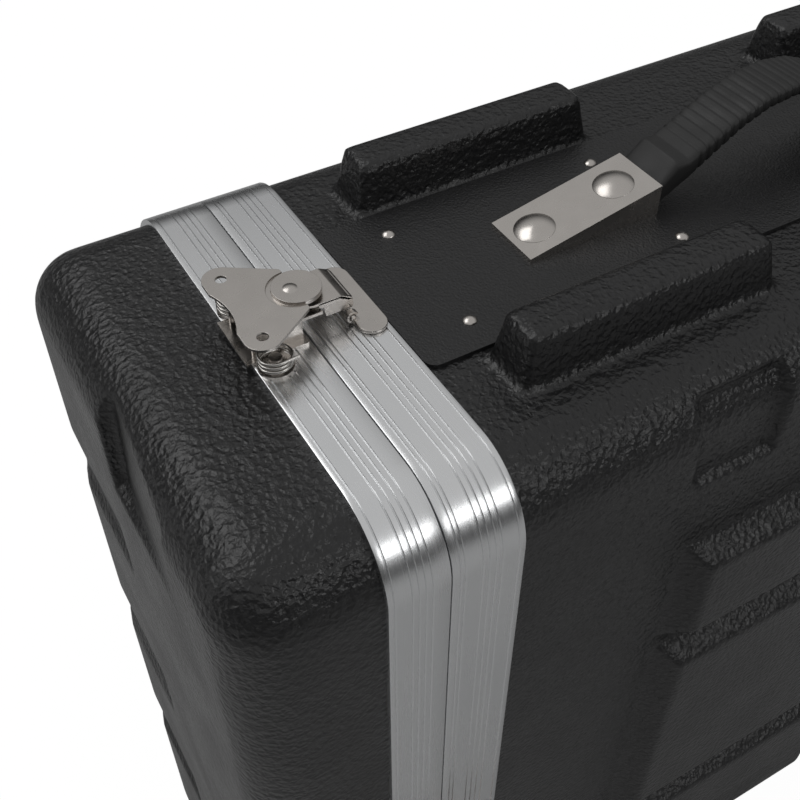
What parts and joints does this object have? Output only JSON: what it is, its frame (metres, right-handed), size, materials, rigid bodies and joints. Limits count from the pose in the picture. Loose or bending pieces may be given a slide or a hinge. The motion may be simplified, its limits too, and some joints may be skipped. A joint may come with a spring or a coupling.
{
  "type": "rack case",
  "caption": "Hard moulded rack case with two lift-off lids, aluminium bands, twist latches, a raised carrying handle and rack rails inside.",
  "frame": {"origin": "middle of the box that bounds the case, on the plane its lower guard bars stand on", "axes": "+Z out of the side with the raised handle, X from the front lid to the rear lid, Y across the rack spaces with -Y the near broad side"},
  "size_m": [0.7304, 0.3066, 0.6495],
  "materials": {
    "moulded_shell": "pebbled leather grain, satin",
    "handle_plate": "finely pebbled, semi-gloss",
    "band_aluminium": "satin anodised with pressed lines",
    "nickel_steel": "nickel plated, softly polished",
    "spring_steel": "bright drawn wire",
    "grip_rubber": "matte with cross grooves",
    "gasket_rubber": "closed cell foam",
    "black_steel": "powder coated"
  },
  "bodies": {
    "case": {"body_shell": "moulded_shell", "front_body_valance": "band_aluminium", "front_gasket": "gasket_rubber", "front_keepers": "nickel_steel", "front_keeper_rivets": "nickel_steel", "rear_body_valance": "band_aluminium", "rear_gasket": "gasket_rubber", "rear_keepers": "nickel_steel", "rear_keeper_rivets": "nickel_steel", "top_handle_plate": "handle_plate", "top_backing_plate": "black_steel", "top_plate_rivets": "nickel_steel", "top_handle_grip": "grip_rubber", "top_handle_strap": "spring_steel", "top_rear_handle_cap": "nickel_steel", "top_front_handle_cap": "nickel_steel", "top_cap_rivets": "nickel_steel", "rear_top_rack_rail": "black_steel", "front_top_rack_rail": "black_steel", "bottom_handle_plate": "handle_plate", "bottom_backing_plate": "black_steel", "bottom_plate_rivets": "nickel_steel", "bottom_handle_grip": "grip_rubber", "bottom_handle_strap": "spring_steel", "bottom_rear_handle_cap": "nickel_steel", "bottom_front_handle_cap": "nickel_steel", "bottom_cap_rivets": "nickel_steel", "rear_bottom_rack_rail": "black_steel", "front_bottom_rack_rail": "black_steel"},
    "front_lid": {"front_lid_shell": "moulded_shell", "front_lid_valance": "band_aluminium", "front_latch_bases": "nickel_steel", "front_latch_springs": "spring_steel", "front_latch_base_rivets": "nickel_steel"},
    "rear_lid": {"rear_lid_shell": "moulded_shell", "rear_lid_valance": "band_aluminium", "rear_latch_bases": "nickel_steel", "rear_latch_springs": "spring_steel", "rear_latch_base_rivets": "nickel_steel"},
    "front_top_wing": {"front_top_latch_wing": "nickel_steel"},
    "front_top_link": {"front_top_latch_link": "nickel_steel"},
    "front_near_wing": {"front_near_latch_wing": "nickel_steel"},
    "front_near_link": {"front_near_latch_link": "nickel_steel"},
    "front_bottom_wing": {"front_bottom_latch_wing": "nickel_steel"},
    "front_bottom_link": {"front_bottom_latch_link": "nickel_steel"},
    "front_far_wing": {"front_far_latch_wing": "nickel_steel"},
    "front_far_link": {"front_far_latch_link": "nickel_steel"},
    "rear_top_wing": {"rear_top_latch_wing": "nickel_steel"},
    "rear_top_link": {"rear_top_latch_link": "nickel_steel"},
    "rear_near_wing": {"rear_near_latch_wing": "nickel_steel"},
    "rear_near_link": {"rear_near_latch_link": "nickel_steel"},
    "rear_bottom_wing": {"rear_bottom_latch_wing": "nickel_steel"},
    "rear_bottom_link": {"rear_bottom_latch_link": "nickel_steel"},
    "rear_far_wing": {"rear_far_latch_wing": "nickel_steel"},
    "rear_far_link": {"rear_far_latch_link": "nickel_steel"}
  },
  "joints": [
    {"name": "front_lid_lift_off", "type": "slide", "parent": "case", "child": "front_lid", "axis": [-1, 0, 0], "range_m": [0, 0.3]},
    {"name": "rear_lid_lift_off", "type": "slide", "parent": "case", "child": "rear_lid", "axis": [1, 0, 0], "range_m": [0, 0.3]},
    {"name": "front_top_wing_turn", "type": "hinge", "parent": "front_lid", "child": "front_top_wing", "pos_m": [-0.27, 0, 0.603], "axis": [0, 0, 1], "range_deg": [0, 180]},
    {"name": "front_top_link_draw", "type": "hinge", "parent": "front_top_wing", "child": "front_top_link", "pos_m": [-0.273, 0, 0.603], "axis": [0, 0, 1], "range_deg": [-180, 0]},
    {"name": "front_near_wing_turn", "type": "hinge", "parent": "front_lid", "child": "front_near_wing", "pos_m": [-0.27, -0.132, 0.313], "axis": [0, -1, 0], "range_deg": [0, 180]},
    {"name": "front_near_link_draw", "type": "hinge", "parent": "front_near_wing", "child": "front_near_link", "pos_m": [-0.273, -0.132, 0.313], "axis": [0, -1, 0], "range_deg": [-180, 0]},
    {"name": "front_bottom_wing_turn", "type": "hinge", "parent": "front_lid", "child": "front_bottom_wing", "pos_m": [-0.27, 0, 0.023], "axis": [0, 0, -1], "range_deg": [0, 180]},
    {"name": "front_bottom_link_draw", "type": "hinge", "parent": "front_bottom_wing", "child": "front_bottom_link", "pos_m": [-0.273, 0, 0.023], "axis": [0, 0, -1], "range_deg": [-180, 0]},
    {"name": "front_far_wing_turn", "type": "hinge", "parent": "front_lid", "child": "front_far_wing", "pos_m": [-0.27, 0.132, 0.313], "axis": [0, 1, 0], "range_deg": [0, 180]},
    {"name": "front_far_link_draw", "type": "hinge", "parent": "front_far_wing", "child": "front_far_link", "pos_m": [-0.273, 0.132, 0.313], "axis": [0, 1, 0], "range_deg": [-180, 0]},
    {"name": "rear_top_wing_turn", "type": "hinge", "parent": "rear_lid", "child": "rear_top_wing", "pos_m": [0.27, 0, 0.603], "axis": [0, 0, 1], "range_deg": [0, 180]},
    {"name": "rear_top_link_draw", "type": "hinge", "parent": "rear_top_wing", "child": "rear_top_link", "pos_m": [0.273, 0, 0.603], "axis": [0, 0, 1], "range_deg": [-180, 0]},
    {"name": "rear_near_wing_turn", "type": "hinge", "parent": "rear_lid", "child": "rear_near_wing", "pos_m": [0.27, -0.132, 0.313], "axis": [0, -1, 0], "range_deg": [0, 180]},
    {"name": "rear_near_link_draw", "type": "hinge", "parent": "rear_near_wing", "child": "rear_near_link", "pos_m": [0.273, -0.132, 0.313], "axis": [0, -1, 0], "range_deg": [-180, 0]},
    {"name": "rear_bottom_wing_turn", "type": "hinge", "parent": "rear_lid", "child": "rear_bottom_wing", "pos_m": [0.27, 0, 0.023], "axis": [0, 0, -1], "range_deg": [0, 180]},
    {"name": "rear_bottom_link_draw", "type": "hinge", "parent": "rear_bottom_wing", "child": "rear_bottom_link", "pos_m": [0.273, 0, 0.023], "axis": [0, 0, -1], "range_deg": [-180, 0]},
    {"name": "rear_far_wing_turn", "type": "hinge", "parent": "rear_lid", "child": "rear_far_wing", "pos_m": [0.27, 0.132, 0.313], "axis": [0, 1, 0], "range_deg": [0, 180]},
    {"name": "rear_far_link_draw", "type": "hinge", "parent": "rear_far_wing", "child": "rear_far_link", "pos_m": [0.273, 0.132, 0.313], "axis": [0, 1, 0], "range_deg": [-180, 0]}
  ],
  "couplings": [
    {"joint": "front_top_link_draw", "follows": "front_top_wing_turn", "ratio": -1},
    {"joint": "front_near_link_draw", "follows": "front_near_wing_turn", "ratio": -1},
    {"joint": "front_bottom_link_draw", "follows": "front_bottom_wing_turn", "ratio": -1},
    {"joint": "front_far_link_draw", "follows": "front_far_wing_turn", "ratio": -1},
    {"joint": "rear_top_link_draw", "follows": "rear_top_wing_turn", "ratio": -1},
    {"joint": "rear_near_link_draw", "follows": "rear_near_wing_turn", "ratio": -1},
    {"joint": "rear_bottom_link_draw", "follows": "rear_bottom_wing_turn", "ratio": -1},
    {"joint": "rear_far_link_draw", "follows": "rear_far_wing_turn", "ratio": -1}
  ]
}
